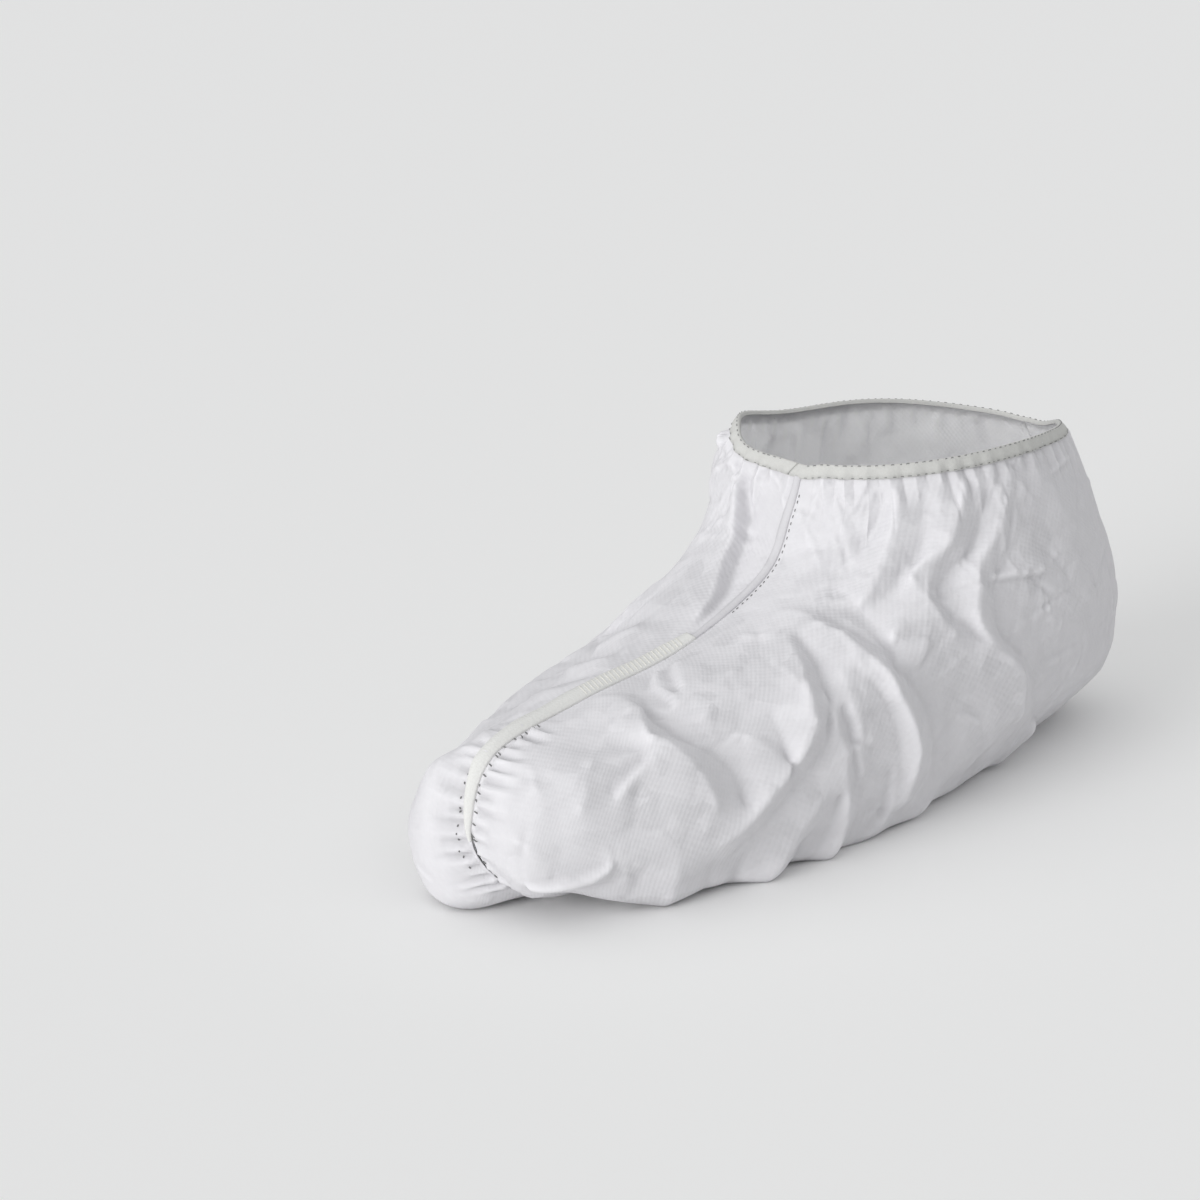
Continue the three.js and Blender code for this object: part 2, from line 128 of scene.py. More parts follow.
# Creases of each panel, one row each: a smooth line through places, given as round, level and height there.
# Round is in thousandths and level in hundredths.
# The cloth is lifted or pressed in to these lines, and lies between them as a taut skin would.
LEFT_CREASES = (
    # Folds that fan out from the instep over the flank
    ("long ridge", (85, 235, 1), (170, 260, 2.5), (240, 285, 4), (315, 335, 5), (385, 395, 6),
     (440, 470, 6.5), (470, 525, 6.5), (485, 570, 6.5), (490, 610, 6), (495, 650, 4.5), (500, 710, 3)),
    ("foot of the long ridge", (320, 355, 1.5), (395, 425, 1.5), (445, 495, 1), (465, 540, 1), (475, 580, 1),
     (480, 620, 1), (485, 655, 0.5)),
    ("drop behind the long ridge", (105, 225, -1), (175, 245, -1.5), (245, 270, -2), (330, 315, -2),
     (430, 415, -2), (490, 505, -1.5), (510, 560, -1), (525, 620, -1), (535, 675, -1)),
    ("front ridge", (105, 255, 1), (175, 295, 3), (250, 345, 4.5), (315, 410, 5.5), (355, 470, 5.5),
     (370, 495, 5.5), (370, 530, 5), (365, 550, 4.5), (355, 570, 4.5), (345, 590, 4), (330, 620, 4),
     (305, 650, 3)),
    ("drop behind the front ridge", (150, 270, -1), (220, 305, -1.5), (305, 370, -1.5), (375, 460, -1),
     (395, 515, 0), (395, 545, 0), (385, 570, 0), (375, 590, -0.5), (365, 620, -1), (350, 650, -1),
     (325, 690, -1)),
    ("upright pleat between the two", (320, 390, 1), (375, 460, 1.5), (400, 510, 2),
     (415, 550, 2.5), (420, 585, 3), (430, 625, 3), (435, 665, 3), (440, 715, 3), (445, 805, 2.5)),
    ("hollow behind that fold", (385, 455, -1), (420, 520, -1), (430, 565, -1), (445, 615, -1),
     (455, 655, -1), (460, 705, -1), (465, 765, -1)),
    ("small ridge", (295, 340, 1.5), (360, 410, 2), (415, 500, 2), (430, 560, 1.5), (445, 610, 1)),
    ("hollow before the upright pleat", (425, 620, 0), (425, 665, -0.5), (425, 725, -1), (425, 790, -1.5)),
    ("slanting pleat", (410, 605, 2.5), (400, 630, 3), (390, 660, 3), (385, 695, 3), (380, 740, 3),
     (375, 805, 2)),
    ("rear pleat", (480, 605, 1), (485, 640, 1.5), (485, 670, 2), (495, 735, 2), (500, 805, 1.5)),
    ("hollow before the rear pleat", (475, 610, -0.5), (480, 660, -1), (490, 720, -1)),
    # Ball and toe
    ("dark crease inside the front ridge", (295, 430, -0.5), (320, 460, -1), (350, 505, -1.5),
     (365, 545, -1), (365, 565, -0.5)),
    ("edge over the pocket", (205, 415, 1), (200, 395, 2), (200, 385, 2.5), (215, 380, 2.5), (245, 390, 1)),
    ("pocket", (70, 375, -2), (120, 400, -3), (170, 420, -3.5), (222, 450, -3.5), (280, 495, -4),
     (312, 535, -4), (325, 565, -3), (332, 600, -2)),
    ("corner before the pocket", (15, 395, 1), (40, 390, 1.5), (90, 395, 2), (130, 420, 3), (185, 460, 4),
     (215, 475, 3.5), (250, 505, 3), (275, 535, 3), (290, 565, 3), (300, 590, 2.5)),
    ("crease of the toe", (75, 470, -1), (115, 465, -2), (145, 455, -2), (190, 470, -1)),
    ("sharp crease", (200, 485, -1), (195, 515, -1.5), (185, 540, -1)),
    ("fold beside the sharp crease", (215, 505, 1), (205, 525, 1), (195, 550, 0.5)),
    ("dimple beside the seam tape", (5, 335, -1), (35, 350, -2.5), (85, 370, -2.5), (145, 390, -1.5)),
    ("ridge behind the dimple", (15, 335, 1), (60, 360, 1.5), (110, 375, 1.5), (145, 390, 1)),
    ("hollow behind it", (5, 320, -0.5), (60, 345, -1), (120, 370, -1)),
    ("second ridge behind the dimple", (25, 320, 1.5), (90, 350, 2), (135, 375, 1.5)),
    ("soft hollow of the toe", (215, 535, -1), (220, 570, -1.5), (220, 590, -1.5)),
    ("soft fold of the toe", (150, 520, 0.5), (155, 540, 1.5), (155, 565, 1.5)),
    ("lip under the toe", (205, 645, 1), (195, 660, 1.5), (175, 675, 2), (145, 685, 2), (95, 700, 1)),
    ("hollow below the lip", (220, 700, -2), (180, 720, -3.5), (140, 730, -3.5), (90, 740, -2)),
    ("hollow over the lip", (200, 640, -1), (185, 650, -2), (160, 660, -2), (130, 670, -2), (80, 685, -1)),
    ("pleat at the lower edge", (240, 660, -1.5), (235, 710, -2), (230, 770, -2)),
    ("fold at the lower edge", (270, 670, 1.5), (275, 730, 2), (275, 810, 2)),
    ("pleat at the lower edge", (310, 680, -0.5), (315, 740, -2), (320, 800, -2)),
    ("pleat at the lower edge", (345, 690, -2), (345, 750, -3), (345, 800, -2)),
    ("pleat at the lower edge", (405, 700, -1.5), (410, 750, -3), (410, 800, -2)),
    ("fold at the lower edge", (540, 680, 0.5), (545, 740, 1.5), (545, 810, 0.5)),
    ("pleat at the lower edge", (565, 690, -1.5), (570, 740, -2), (570, 800, -2)),
    # Heel
    ("rear ridge", (530, 420, 2), (565, 460, 4.5), (590, 505, 6), (600, 560, 6), (605, 600, 4.5)),
    ("drop behind the rear ridge", (590, 455, -1), (630, 535, -2.5), (655, 610, -3), (715, 720, -2.5)),
    ("hollow over the long ridge", (145, 230, -1.5), (195, 235, -2.5), (260, 265, -3), (350, 330, -3),
     (430, 420, -2)),
    ("small fork", (320, 300, 1), (305, 280, 1.5), (325, 270, 1)),
    ("crease across the heel", (420, 235, -1), (460, 240, -1.5), (540, 260, -1.5), (585, 275, -1),
     (640, 295, -0.5)),
    ("fold above the crease", (415, 220, 0.5), (470, 230, 1), (545, 245, 1)),
    ("heel fold", (680, 380, 0.5), (720, 450, 0.5), (780, 560, -0.5)),
    ("heel hollow", (800, 240, -1), (860, 360, -1.5), (880, 520, -1)),
    ("back fold", (900, 180, -0.5), (930, 320, -0.5), (940, 500, -0.5)),
    ("tuck under the heel", (700, 630, -1.5), (740, 700, -3.5), (760, 780, -2)),
    ("heel edge pleat", (600, 660, -1), (600, 710, -1.5), (590, 780, -1.5)),
    ("heel edge fold", (680, 660, 1), (690, 700, 1.5), (680, 780, 1)),
    ("back edge pleat", (830, 650, -1.5), (840, 720, -2), (830, 790, -1.5)),
    ("last edge pleat", (920, 640, -1), (930, 710, -1.5), (930, 790, -1)),
    # Folds that run down from the rim
    ("hollow before the first rim fold", (180, 50, -1), (180, 95, -2), (155, 135, -3), (120, 155, -3),
     (90, 180, -2), (70, 205, -1)),
    ("first rim fold", (210, 45, 1.5), (205, 115, 2.5), (195, 170, 3), (200, 205, 3), (200, 230, 2)),
    ("hollow behind it", (265, 55, -1), (265, 110, -1), (260, 150, -1), (250, 175, -1), (240, 205, -0.5),
     (230, 230, 0)),
    ("second rim fold", (355, 45, 1), (335, 85, 2.5), (305, 145, 3), (275, 165, 3), (250, 185, 3),
     (275, 210, 2.5), (320, 240, 2), (390, 295, 1.5), (440, 335, 1)),
    ("hollow behind it", (405, 65, -1), (380, 125, -1.5), (360, 170, -2), (325, 215, -2.5), (380, 265, -2.5),
     (440, 315, -2), (515, 390, -1)),
    ("third rim fold", (445, 85, 1.5), (405, 150, 2), (380, 190, 2), (410, 255, 2.5), (465, 330, 2.5),
     (540, 415, 2.5)),
    ("hollow behind it", (475, 160, -1), (435, 215, -1.5), (475, 290, -2), (545, 395, -2), (605, 480, -2)),
    ("fourth rim fold", (570, 100, 1), (585, 150, 1.5), (625, 200, 1.5)),
    ("hollow before it", (465, 110, -0.5), (495, 160, -1), (545, 220, -1)),
    ("fifth rim fold", (770, 50, 1), (790, 100, 0.5), (830, 230, 0)),
    ("hollow behind it", (850, 50, -1), (860, 120, -1.5), (880, 200, -1)),
)
RIGHT_CREASES = (
    # Folds that run down from the rim
    ("long pleat beside the seam", (85, 65, -2), (60, 120, -3.5), (50, 160, -4), (45, 195, -3.5),
     (30, 230, -2.5), (20, 260, -1.5), (8, 290, -0.5)),
    ("ridge beside the pleat", (100, 70, 2), (73, 125, 3), (61, 170, 3), (54, 210, 2.5), (37, 240, 2),
     (25, 270, 1)),
    ("hollow before that ridge", (175, 70, -0.5), (140, 120, -1), (115, 170, -1)),
    ("ruffle at the corner of the rim", (170, 50, 2.5), (215, 50, 4), (270, 50, 2.5)),
    ("rim hollow", (320, 50, -1.5), (330, 110, -2), (340, 180, -1.5)),
    ("rim fold", (390, 50, 1.5), (400, 130, 3), (420, 210, 1.5)),
    ("rim hollow", (460, 50, -1.5), (460, 110, -2), (470, 180, -1.5)),
    ("rim fold", (530, 50, 1.5), (540, 130, 3), (570, 220, 1.5)),
    ("rim hollow", (610, 50, -1.5), (620, 110, -2), (630, 190, -1.5)),
    ("rim hollow", (780, 50, -1.5), (780, 110, -2), (790, 190, -1.5)),
    ("rim fold", (870, 50, 1.5), (880, 130, 2), (900, 220, 1.5)),
    # Instep, flank and heel
    ("upper instep crease", (275, 350, -1.5), (145, 295, -2), (100, 280, -1)),
    ("roll below it", (200, 350, 1), (130, 315, 1.5), (100, 300, 1)),
    ("middle instep crease", (250, 385, -1.5), (195, 360, -2), (120, 335, -2), (90, 320, -1)),
    ("roll below it", (190, 380, 1), (110, 355, 1.5), (70, 340, 1)),
    ("lower instep crease", (225, 415, -1.5), (145, 385, -2), (90, 370, -2), (55, 355, -1)),
    ("roll below it", (120, 415, 1), (70, 400, 1.5), (35, 385, 1)),
    ("last instep crease", (140, 460, -1.5), (60, 440, -2), (25, 430, -1)),
    ("instep ridge", (200, 260, 1.5), (270, 320, 1.5), (320, 410, -1), (340, 500, 1), (340, 600, 3)),
    ("hollow behind it", (240, 260, -1.5), (350, 380, -4), (400, 500, -4), (410, 640, -2.5)),
    ("rear ridge", (350, 170, 1.5), (470, 250, 5), (550, 370, 6.5), (600, 580, 4)),
    ("hollow behind it", (430, 190, -1.5), (530, 270, -4), (610, 370, -4), (670, 560, -2.5)),
    ("ball ridge", (400, 340, 1.5), (450, 440, 3), (490, 600, 2.5)),
    ("crease across the heel", (620, 240, -1.5), (740, 310, -3), (860, 360, -1.5)),
    ("heel fold", (720, 420, 1.5), (790, 500, 3), (820, 620, 2.5)),
    ("toe hollow", (60, 480, -1), (130, 520, -1.5), (210, 560, -1.5), (260, 590, -1)),
    ("toe fold", (170, 610, 1), (120, 660, 1.5), (100, 720, 1.5)),
    ("edge pleat", (260, 620, -1.5), (270, 690, -2.5), (260, 760, -2.5)),
    ("edge pleat", (420, 660, -1.5), (430, 700, -2.5), (420, 770, -2.5)),
    ("edge fold", (480, 640, 1.5), (490, 690, 2.5), (480, 760, 2.5)),
    ("edge pleat", (550, 620, -1.5), (550, 680, -2.5), (540, 760, -2.5)),
    ("edge fold", (640, 640, 1.5), (650, 700, 2.5), (640, 780, 2.5)),
    ("tuck under the heel", (720, 630, -2.5), (750, 700, -4), (770, 780, -3)),
    ("back edge pleat", (840, 650, -1.5), (850, 720, -3), (840, 790, -2.5)),
)
CREASES = {LEFT: LEFT_CREASES, RIGHT: RIGHT_CREASES}
CREASE_UNITS = (1000, 100, 1)
CREASE_STEPS = 5  # straight pieces of a crease between two places
CREASE_END = 0.1  # share of a crease over which its grip fades out
CREASE_WIDTH = 0.9
CREASE_GRIP = 6.0
CREASE_MARGIN = 12  # cloth further than this from a crease isn't looked at
SKIN_REACH = 45  # how far a crease lifts the cloth around it
SKIN_STEPS = 900  # rounds of settling the taut skin, at most
SKIN_SETTLED = 1e-8
RIM_FLAT = 3.5  # cloth under the top tape is held flat this far down
SEAM_FLAT = 1.5
EDGE_HOLD = 50  # how firmly the stitched edges are held flat
SOLE_HOLD = 1
SOLE_START = 0.1  # levels past the tread edge

# Small random creases all over the cloth
WRINKLES = 320  # on each panel
WRINKLE_LENGTH = (12, 50)
WRINKLE_HEIGHT = (0.25, 1.1)
WRINKLE_GRIP = 3.0
WRINKLE_REACH = 14
WRINKLE_BORDER = 4  # grid steps without them along the edges
WRINKLE_END = 0.3  # and levels above the tread edge
PANEL_SEEDS = {LEFT: 41, RIGHT: 12}

# Small pleats across a stitched edge: steps between them, how far they run from it, and their height
RIM_GATHERS = {"step": (2.2, 5.0), "run": (6, 26), "height": (0.6, 1.7)}
TOE_GATHERS = {
    LEFT: {"step": (1.8, 4.2), "run": (5, 22), "height": (1.3, 3.0)},
    RIGHT: {"step": (1.8, 4.2), "run": (5, 19), "height": (1.1, 2.6)},
}
TOE_GATHER_LEVELS = (4.4, 7.6)
RIM_CLEAR = 1  # they start this far from the flat edge
SEAM_CLEAR = 0.5
GATHER_FADE = 2  # and would be flat this far past their run

# Top tape: a U over the rim, whose end laps over its start just before the front seam
TAPE_STEP = 1.0
TAPE_LAP_START = -8  # measured along the rim from the front seam
TAPE_LAP_END = -3
TAPE_END_SLANT = 0.6
TAPE_EASE = 6  # length over which the lapping end rises and slants
TAPE_LAP_CLEAR = 0.15
TAPE_INNER_LIFT = -0.3  # what the inner leg does for each millimetre of the outer one
TAPE_INNER_WAVE = 0.6
TAPE_DROOP = 0.08  # how much taller the tape gets where it waves out
TAPE_RIPPLES = ((6, 0.12), (15, 0.3))  # pitch and size
TAPE_SEED = 300

# Seam tape, by level: how wide it is, and how far it stands up from the right panel, in degrees.
# Above it, down the ankle, the seam is a narrow lip of the cloth itself.
SEAM_LIP = {"levels": (0.25, 1.0, 2.4, 3.0), "widths": (2.2, 3.0, 3.0, 2.0), "leans": (20, 18, 14, 6),
            "off": 0.1, "seed": 360}
SEAM_TAPE = {"levels": (2.85, 3.1, 4.6, 5.1, 5.8, 6.3), "widths": (4.6, 6.0, 6.2, 5.2, 3.6, 1.2),
             "leans": (6, 9, 10, 14, 16, 16), "off": 0.3, "seed": 320}
SEAM_STATIONS = 260
STRIP_START = 0.15  # its near edge, from the seam
STRIP_RUN = 40  # rough length of one level
STRIP_WIDTH_RIPPLES = ((9, 0.05), (30, 0.06))
STRIP_LEAN_RIPPLES = ((30, 0.06),)
STRIP_SECTION = (  # across and up, as shares of the width and the height there
    (0.02, -0.8), (0.5, -0.8), (0.98, -0.8), (1.02, 0.6),
    (0.97, 0.95), (0.5, 1.05), (0.06, 0.9), (-0.02, 0.45),
)
STRIP_BOTTOM, STRIP_FAR, STRIP_TOP, STRIP_NEAR = 1, 4, 5, 6  # some of its corners

# Rows of stitches: pitch, length and thickness of the thread
THREAD = 0.17
HEM_THREAD = 0.12
TOE_THREAD = 0.26
TOP_STITCH = {"pitch": 3.0, "length": (0.7, 1.6), "loose": 0.3, "ends": (2, 4)}
RIM_STITCH = {"out": 0.8, "depth": -0.06}  # out as a share of the way to the tape's face
HEM_STITCH = {"off": 0.02, "up": 0.4}  # off the tape's face, and up from its lower edge
ANKLE_STITCH = {"levels": (0.6, 2.5), "pitch": 2.8, "length": 1.2, "loose": 0.15, "away": 0.9}
TOE_STITCH = {"levels": (4.8, 7.0), "pitch": 4.6, "length": 1.0, "loose": 0.35, "away": 5.6}
# dark ticks across the seam, as painted shade under the seam tape's edge at each pucker
TOE_TICK = {"levels": (4.4, 7.4), "pitch": 3.6, "length": 1.6, "loose": 0.35, "away": 0.3}
OVERLOCK = {"levels": (2.95, 3.9), "every": 3, "slant": 2}
TICK_SLANT = 0.6
STITCH_SAMPLES = 400  # steps used to measure along the seam
STITCH_SEED = 21

# Looks of the cloth and tapes, and the light
EMBOSS_PITCH = 2.0
FIBRE_RELIEF = 2.5  # against one for the embossed lines
CRUMPLES = ((45, 0.22), (120, 0.18))  # scale and tilt
CLOTH_TINT = (0.008, 0, 0.022)
TAPE_TINT = (0, 0, -0.02)
BENDS = (0.46, 0.54)  # pointiness of hollows and crests, where the colour gets painted shade and painted highlight
# colour factors from hollows to crests: painted shade in creases, painted highlight on crests
BEND_SHADES = (0.91, 1.09)
ROOM_LIGHT = 0.40
LIGHTS = (  # direction from the object, softness in degrees, strength
    ("key", (0.04, -0.95, 0.22), 30, 1.65),
    ("top", (0.02, -0.05, 1.00), 110, 0.98),
)

# Camera, in degrees and millimetres, for a square picture
CAMERA_AZIMUTH = 42
CAMERA_ELEVATION = 17
CAMERA_DISTANCE = 1800
CAMERA_LENS = 140.4
LOOK_RIGHT = -68.7  # the picture's middle, from the cover's own frame
LOOK_UP = 76.5


# Small maths

def smooth_step(share):
    share = np.clip(share, 0, 1)
    return share * share * (3 - 2 * share)


def unit(vectors):
    length = np.linalg.norm(vectors, axis=-1, keepdims=True)
    return vectors / np.maximum(length, 1e-9)


def travelled(points, axis):
    """Distance walked along one axis of a grid of points."""
    steps = np.linalg.norm(np.diff(points, axis=axis), axis=-1)
    start = np.zeros_like(np.take(steps, [0], axis=axis))
    return np.concatenate([start, np.cumsum(steps, axis=axis)], axis=axis)


def between(p0, p1, p2, p3, share):
    """Smooth curve from p1 to p2, with p0 before and p3 after them."""
    curve = 2 * p0 - 5 * p1 + 4 * p2 - p3
    twist = 3 * p1 - p0 - 3 * p2 + p3
    return 0.5 * (2 * p1 + (p2 - p0) * share + curve * share ** 2 + twist * share ** 3)


def extended(places):
    """Places with one more before the first and after the last, straight on."""
    return np.vstack([2 * places[0] - places[1], places, 2 * places[-1] - places[-2]])


def smooth_line(places, steps):
    """Smooth line through a few places, in straight steps."""
    padded = extended(places)
    share = np.linspace(0, 1, steps, endpoint=False)[:, None]
    spans = [between(*padded[first:first + 4], share) for first in range(len(places) - 1)]
    return np.vstack(spans + [places[-1:]])


def lattice_noise(points, pitch, seed):
    """Smooth noise from -1 to 1 on a lattice of the given pitch."""
    cells = 32
    shift = 1000  # keeps the places positive
    values = np.random.default_rng(seed).uniform(-1, 1, (cells, cells, cells))
    scaled = np.asarray(points) / pitch + shift
    cell = np.floor(scaled).astype(int)
    share = smooth_step(scaled - cell)
    total = np.zeros(scaled.shape[:-1])
    for corner in np.ndindex(2, 2, 2):
        weight = np.prod(np.where(corner, share, 1 - share), axis=-1)
        index = (cell + corner) % cells
        total += weight * values[index[..., 0], index[..., 1], index[..., 2]]
    return total


# Panel surface

def level_lines(level):
    """Level lines at any heights: smooth curves through the rows of LEVELS."""
    level = np.asarray(level, float)
    first = np.clip(np.floor(level).astype(int), 0, LAST_LEVEL - 1)
    padded = extended(LEVELS)
    rows = between(*(padded[first + step] for step in range(4)), (level - first)[..., None])
    return {name: rows[..., index] for index, name in enumerate(LEVEL_NAMES)}


def full_points(rounds, levels, side):
    """Full shape of a panel before stitching: round 0 is the front seam, 1 is the heel line."""
    line = level_lines(levels)
    turn = np.cos(np.pi * rounds)
    share = (1 - turn) / 2
    y = line["front_y"] + (line["back_y"] - line["front_y"]) * share
    z = line["front_z"] + (line["back_z"] - line["front_z"]) * share
    to_waist = smooth_step((y - BALL_Y) / (WAIST_Y - BALL_Y))
    to_heel = smooth_step((y - WAIST_Y) / (HEEL_Y - WAIST_Y))
    half = line["ball"] + (line["waist"] - line["ball"]) * to_waist
    half = half + (line["heel"] - line["waist"]) * to_heel
    bow = np.maximum(1 - np.abs(turn) ** line["fullness"], 0) ** (1 / line["fullness"])
    x = half * bow
    edges = smooth_step(rounds / SWELL_EDGE) * smooth_step((1 - rounds) / SWELL_EDGE)
    for swell_side, swell_round, swell_level, round_reach, level_reach, out, up in SWELLS:
        if swell_side == side:
            across = (rounds - swell_round) / round_reach
            down = (levels - swell_level) / level_reach
            amount = np.exp(-across ** 2 - down ** 2) * edges
            x = x + out * amount
            z = z + up * amount
    return np.stack([side * x, y, np.maximum(z, 0)], axis=-1)


def rib_stations():
    """Places along the cover of ribs that are spaced evenly round the nose level."""
    rounds = np.linspace(0, 1, STATION_SAMPLES)
    points = full_points(rounds, np.full_like(rounds, NOSE_LEVEL), LEFT)
    distance = travelled(points, 0)
    return np.interp(np.linspace(0, distance[-1], COLUMNS + 1), distance, points[:, 1])


def rib_rounds(levels):
    """How far round each level line the ribs cross it, so that they run straight down the sides."""
    stations = rib_stations()[None, :]
    front = level_lines(levels)["front_y"][:, None]
    crowded = RIB_CROWD * np.logaddexp(0, (stations - front) / RIB_CROWD) + RIB_SPREAD * stations
    share = (crowded - crowded[:, :1]) / (crowded[:, -1:] - crowded[:, :1])
    return np.arccos(np.clip(1 - 2 * share, -1, 1)) / np.pi


def grid_normals(points, side):
    """Outward normals; on the middle plane they have no sideways part."""
    down = np.gradient(points, axis=0)
    along = np.gradient(points, axis=1)
    normals = np.cross(down, along) * side
    normals[:, 0, 0] = 0
    normals[:, -1, 0] = 0
    normals[-1, :, 0] = 0
    return unit(normals)


def sewn_grid(side):
    """Panel drawn in to the stitched front seam, with the level of every row."""
    levels = np.concatenate([
        np.linspace(0, TREAD_LEVEL, SIDE_ROWS + 1),
        np.linspace(TREAD_LEVEL, LAST_LEVEL, SOLE_ROWS + 1)[1:],
    ])
    rounds = rib_rounds(levels)
    points = full_points(rounds, np.broadcast_to(levels[:, None], rounds.shape), side)
    line = level_lines(levels)
    pull_y, pull_z = (line["seam_" + axis] - line["front_" + axis] for axis in "yz")
    pull = np.stack([0 * levels, pull_y, pull_z], axis=-1)
    reach = np.interp(levels, PULL_LEVELS, PULL_REACH[side])[:, None]
    share = np.exp(-(travelled(points, 1) / reach) ** 2)
    points = points + pull[:, None, :] * share[..., None]
    points[..., 2] = np.maximum(points[..., 2], 0)
    return points, levels


def twisted(points):
    """Points with the toe's lower middle moved to the left."""
    x, y, z = np.moveaxis(points, -1, 0)
    back, front = TOE_TWIST_BACK
    share = smooth_step(1 - z / TOE_TWIST_TOP) * smooth_step((y - back) / (front - back))
    moved = x + TOE_TWIST * share * np.exp(-(x / TOE_TWIST_REACH) ** 2)
    return np.stack([moved, y, z], axis=-1)


# Creases and the taut skin between them

def hold_line(hold, points, normals, curve, heights, grip):
    """Make the skin reach some heights along a curve; the hold fades out at the curve's ends."""
    low, high = curve.min(axis=0) - CREASE_MARGIN, curve.max(axis=0) + CREASE_MARGIN
    near = np.all((points > low) & (points < high), axis=-1)
    spots, facing = points[near], normals[near]
    nearest = np.full(len(spots), np.inf)
    along = np.zeros(len(spots))
    steps = len(curve) - 1
    for step in range(steps):
        stretch = curve[step + 1] - curve[step]
        share = np.clip((spots - curve[step]) @ stretch / (stretch @ stretch), 0, 1)
        offset = spots - curve[step] - share[:, None] * stretch
        offset = offset - np.sum(offset * facing, axis=-1)[:, None] * facing
        distance = np.linalg.norm(offset, axis=-1)
        closer = distance < nearest
        nearest[closer] = distance[closer]
        along[closer] = (step + share[closer]) / steps
    ends = smooth_step(along / CREASE_END) * smooth_step((1 - along) / CREASE_END)
    strength = grip * ends * np.exp(-(nearest / CREASE_WIDTH) ** 2)
    hold["strength"][near] += strength
    hold["pull"][near] += strength * np.interp(along, np.linspace(0, 1, len(heights)), heights)


def hold_creases(hold, points, normals, side):
    for name, *places in CREASES[side]:
        line = smooth_line(np.array(places) / CREASE_UNITS, CREASE_STEPS)
        curve = full_points(line[:, 0], line[:, 1], side)
        hold_line(hold, points, normals, curve, line[:, 2], CREASE_GRIP)


def hold_wrinkles(hold, points, normals, levels, random):
    """Short random creases, some raised and some pressed in."""
    columns = points.shape[1]
    last_row = np.searchsorted(levels, TREAD_LEVEL - WRINKLE_END)
    for _ in range(WRINKLES):
        row = random.integers(WRINKLE_BORDER, last_row)
        column = random.integers(WRINKLE_BORDER, columns - WRINKLE_BORDER)
        along = unit(points[row, column + 2] - points[row, column - 2])
        across = np.cross(normals[row, column], along)
        turn = random.uniform(0, math.pi)
        half = random.uniform(*WRINKLE_LENGTH) / 2 * (math.cos(turn) * along + math.sin(turn) * across)
        height = random.uniform(*WRINKLE_HEIGHT) * random.choice((-1, 1))
        middle = points[row, column]
        curve = np.stack([middle - half, middle, middle + half])
        hold_line(hold, points, normals, curve, (0, height, 0), WRINKLE_GRIP)


def gather_places(run, gathers, random):
    """Pleats across an edge, up and down in turn: place along it, run away from it, and height."""
    place = run[0]
    sign = 1
    while place < run[-1]:
        place += random.uniform(*gathers["step"])
        sign = -sign
        length = random.uniform(*gathers["run"])
        yield np.searchsorted(run, place), length, sign * random.uniform(*gathers["height"])


def hold_pleat(hold, line, distance, flat, clear, run, height):
    """One pleat along a line of the grid, which gets lower and looser away from the flat edge."""
    start = flat + clear
    spots = (distance > start) & (distance < start + run)
    fade = 1 - (distance[spots] - flat) / (run + GATHER_FADE)
    hold["strength"][line][spots] += CREASE_GRIP * fade
    hold["pull"][line][spots] += CREASE_GRIP * fade * fade * height


def hold_gathers(hold, side, from_rim, from_seam, levels, random):
    """Pleats below the top tape, and pleats on the front seam round the toe."""
    for column, run, height in gather_places(from_seam[0], RIM_GATHERS, random):
        if column < from_rim.shape[1] - 2:
            hold_pleat(hold, np.s_[:, column], from_rim[:, column], RIM_FLAT, RIM_CLEAR, run, height)
    first, last = np.searchsorted(levels, TOE_GATHER_LEVELS)
    for row, run, height in gather_places(from_rim[first:last, 0], TOE_GATHERS[side], random):
        hold_pleat(hold, first + row, from_seam[first + row], SEAM_FLAT, SEAM_CLEAR, run, height)


def settle_skin(points, hold, reach):
    """Heights of a taut skin over the held lines, by conjugate gradients on the grid."""
    least = 1e-3  # keeps points that fall together apart
    down, along = (np.linalg.norm(np.diff(points, axis=axis), axis=-1) + least for axis in range(2))
    tall, wide = (np.gradient(travelled(points, axis), axis=axis) + least for axis in range(2))
    down_ties = (wide[1:] + wide[:-1]) / 2 / down
    along_ties = (tall[:, 1:] + tall[:, :-1]) / 2 / along
    base = hold["strength"] + tall * wide / reach ** 2
    all_ties = ((down_ties, np.s_[1:], np.s_[:-1]), (along_ties, np.s_[:, 1:], np.s_[:, :-1]))
    total = base.copy()
    for ties, far, near in all_ties:
        total[far] += ties
        total[near] += ties

    def strained(height):
        out = base * height
        for ties, far, near in all_ties:
            step = ties * (height[far] - height[near])
            out[far] += step
            out[near] -= step
        return out

    height = np.zeros(points.shape[:-1])
    left_over = hold["pull"].copy()
    scaled = left_over / total
    search = scaled.copy()
    size = np.sum(left_over * scaled)
    for _ in range(SKIN_STEPS):
        strain = strained(search)
        step = size / np.sum(search * strain)
        height += step * search
        left_over -= step * strain
        scaled = left_over / total
        new_size = np.sum(left_over * scaled)
        search = scaled + new_size / size * search
        size = new_size
        if size < SKIN_SETTLED:
            break
    return height


def flat_hold(from_rim, from_seam, levels):
    """Strength that keeps the cloth flat along its stitched edges and on the floor."""
    strength = np.zeros(from_rim.shape)
    strength[(from_rim < RIM_FLAT) | (from_seam < SEAM_FLAT)] += EDGE_HOLD
    strength[:, -1] += EDGE_HOLD
    strength[levels > TREAD_LEVEL + SOLE_START] += SOLE_HOLD
    return strength


def lowest_nearby(height):
    """Lowest of every point's height and its neighbours'."""
    padded = np.pad(height, 1, mode="edge")
    rows, columns = height.shape
    around = [padded[row:row + rows, column:column + columns] for row, column in np.ndindex(3, 3)]
    return np.min(around, axis=0)


